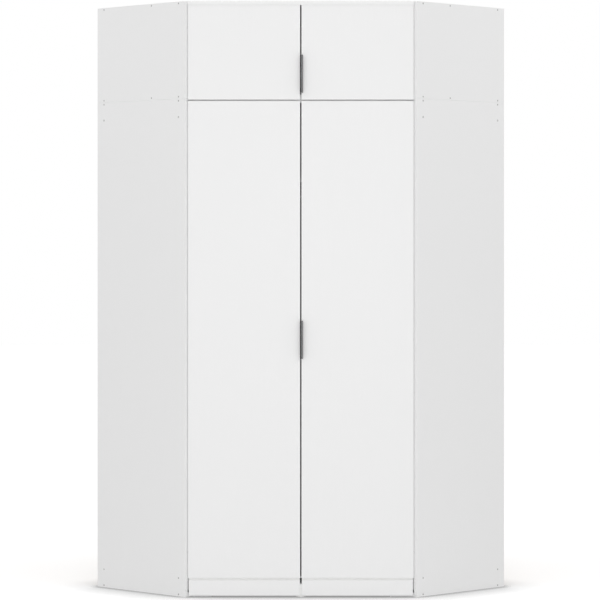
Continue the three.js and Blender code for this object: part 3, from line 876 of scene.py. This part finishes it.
for word, side in sideWords.items():
    run, cross = wallAxes(side)
    dome = [(nails["radius"], 0), (nails["radius"] * nails["topShare"], nails["height"])]
    places = np.arange(nails["first"], wallLength - nails["endInset"], nails["spacing"])
    heads = [
        turned(dome, fromWall(side, along, backing["outer"], height), -cross, nails["segments"])
        for height in boardLevels.values()
        for along in places
    ]
    makePiece(f"back_nails_{word}", heads, zinc, "carcass")
    inset = profile["endInset"]
    shelfLow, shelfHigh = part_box("hat_shelf")
    outside = fromWall(side, wallLength / 2, backing["outer"], 0.0)
    heights = (inset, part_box(f"main_back_{word}")[1].z - inset)
    strips = [carried(section, outside, (run, -cross, up), heights)]
    inside = fromWall(side, wallLength / 2, backing["inner"], 0.0)
    flatter = section * [1, profile["innerShare"]]
    spans = [(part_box("main_bottom_board")[1].z, shelfLow.z), (shelfHigh.z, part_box("main_top_board")[0].z)]
    for bottom, top in spans:
        strips.append(carried(flatter, inside, (run, cross, up), (bottom + inset, top - inset)))
    makePiece(f"back_fold_profile_{word}", strips, whiteProfile, "carcass")
print("fixings made")


# A white sealing profile on top of each half of the plinth fills the slot under the lower doors.
seal = {
    "setback": 0.0042,
    "depth": 0.0116,
    "clearance": 0.0004,
    "corner": 0.0015,
    "cornerSteps": 6,
}

for word in sideWords:
    low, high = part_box(f"plinth_{word}")
    bottom, top = high.z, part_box(f"lower_{word}_door")[0].z - seal["clearance"]
    section = rounded(seal["depth"], top - bottom, seal["corner"], seal["cornerSteps"])
    origin = (0, frontY + seal["setback"] + seal["depth"] / 2, (bottom + top) / 2)
    ends = (low.x + seal["clearance"], high.x - seal["clearance"])
    strip = carried(section, origin, (backwards, up, rightwards), ends)
    makePiece(f"plinth_seal_{word}", [strip], whitePlastic, "carcass")


# Clear buffers on the doors' inner faces, opposite the front edges of the boards.
buffer = {
    "radius": 0.003,
    "height": 0.0034,
    "shares": ((1, 0), (1, 0.4), (0.8, 0.85), (0.45, 1)),      # of the radius and of the height
    "fromFreeEdge": (0.03, 0.36),
    "lowerInset": 0.0032,
    "upperInset": 0.012,
    "segments": 24,
}

for storey in storeys:
    for word, side in sideWords.items():
        leaf = f"{storey}_{word}_door"
        low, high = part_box(leaf)
        freeEdge = low.x if side > 0 else high.x
        level = high.z - buffer["lowerInset"] if storey == "lower" else low.z + buffer["upperInset"]
        dome = [(buffer["radius"] * wide, buffer["height"] * tall) for wide, tall in buffer["shares"]]
        spots = [(freeEdge + side * place, high.y, level) for place in buffer["fromFreeEdge"]]
        domes = [turned(dome, spot, backwards, buffer["segments"]) for spot in spots]
        makePiece(f"{leaf}_buffers", domes, clearBuffer, leaf)
print("buffers made")


# Floor, light and camera

studio = {
    "floorSize": 30.0,
    "floorTone": 0.80,
    "floorRoughness": 0.9,
    "floorLift": 0.42,
    "shadowTone": 0.31,
    "contact": [(0.05, 2.9), (0.24, 1.4)],      # reach and depth of the close and the wide shadow
    "contactSamples": 12,
    "dome": 0.70,
}
lamps = {
    "key": {
        "place": (0, -9.4, 2.15),
        "aim": (0, 0, 1.2),
        "size": (2.6, 4.0),
        "power": 187.0,
        "glossy": True,
    },
    "left": {
        "place": (-3.2, -0.4, 4.2),
        "aim": (-0.6, -0.4, 1.6),
        "size": (1.4, 1.4),
        "power": 13.0,
        "glossy": False,
    },
    "right": {
        "place": (3.2, -0.4, 4.2),
        "aim": (0.6, -0.4, 1.6),
        "size": (1.4, 1.4),
        "power": 15.0,
        "glossy": False,
    },
}


# One where a ray comes straight from the camera or by way of metal or clear plastic, else zero.
def seenRays(tree):
    rays = addNode(tree, "ShaderNodeLightPath")
    seen = maths(tree, "MAXIMUM", rays.outputs["Is Camera Ray"], rays.outputs["Is Glossy Ray"])
    return maths(tree, "MAXIMUM", seen, rays.outputs["Is Transmission Ray"])


# Seen rays meet a white floor with a painted shadow, from ambient occlusion, that darkens it only close to
# what stands on it; others meet a plain pale floor.
def floorMaterial():
    material, tree, shader = startMaterial("floor")
    shader.inputs["Roughness"].default_value = studio["floorRoughness"]
    seen = seenRays(tree)
    shade = 1.0
    for reach, depth in studio["contact"]:
        samples = studio["contactSamples"]
        room = addNode(tree, "ShaderNodeAmbientOcclusion", {"Distance": reach}, samples=samples)
        shade = maths(tree, "MULTIPLY", maths(tree, "POWER", room.outputs["AO"], depth), shade)
    covered = maths(tree, "MULTIPLY", seen, maths(tree, "SUBTRACT", 1.0, shade))
    tone = studio["floorTone"]
    base = mixColour(tree, covered, (tone, tone, tone), (0.0, 0.0, 0.0))
    tree.links.new(base, shader.inputs["Base Color"])
    lift = spread(tree, shade, 0.0, 1.0, studio["shadowTone"], studio["floorLift"])
    shader.inputs["Emission Color"].default_value = (1, 1, 1, 1)
    tree.links.new(maths(tree, "MULTIPLY", seen, lift), shader.inputs["Emission Strength"])
    return material


size = studio["floorSize"]
floorMesh = bpy.data.meshes.new("floor")
floorCorners = [(-size, -size, 0), (size, -size, 0), (size, size, 0), (-size, size, 0)]
floorMesh.from_pydata(floorCorners, [], [(0, 1, 2, 3)])
floorMesh.materials.append(floorMaterial())
floor = bpy.data.objects.new("floor", floorMesh)
bpy.context.scene.collection.objects.link(floor)

world = bpy.data.worlds.new("studio")
bpy.context.scene.world = world
world.use_nodes = True
tree = world.node_tree
tree.nodes.clear()
strength = spread(tree, seenRays(tree), 0.0, 1.0, studio["dome"], 1.0)
sky = addNode(tree, "ShaderNodeBackground", {"Color": (1, 1, 1, 1), "Strength": strength})
end = addNode(tree, "ShaderNodeOutputWorld")
tree.links.new(sky.outputs[0], end.inputs[0])

for name, look in lamps.items():
    lamp = bpy.data.lights.new(name, "AREA")
    lamp.shape = "RECTANGLE"
    lamp.size, lamp.size_y = look["size"]
    lamp.energy = look["power"]
    holder = bpy.data.objects.new(name, lamp)
    holder.location = look["place"]
    aim = Vector(look["aim"]) - holder.location
    holder.rotation_euler = aim.to_track_quat("-Z", "Y").to_euler()
    holder.visible_camera = False
    holder.visible_glossy = look["glossy"]
    bpy.context.scene.collection.objects.link(holder)

photo = {
    "lens": 175.48,
    "sensor": 36.0,
    "distance": 11.577,
    "height": 1.3765,
    "shiftX": -0.00135,
    "shiftY": -0.0844,
    "clip": (0.1, 100.0),
}
cameraData = bpy.data.cameras.new("camera")
cameraData.lens = photo["lens"]
cameraData.sensor_width = photo["sensor"]
cameraData.shift_x = photo["shiftX"]
cameraData.shift_y = photo["shiftY"]
cameraData.clip_start, cameraData.clip_end = photo["clip"]
camera = bpy.data.objects.new("camera", cameraData)
camera.location = (0, frontY - photo["distance"], photo["height"])
camera.rotation_euler = (math.pi / 2, 0, 0)
bpy.context.scene.collection.objects.link(camera)
bpy.context.scene.camera = camera
bpy.context.scene.view_settings.view_transform = "Standard"
print("studio ready")
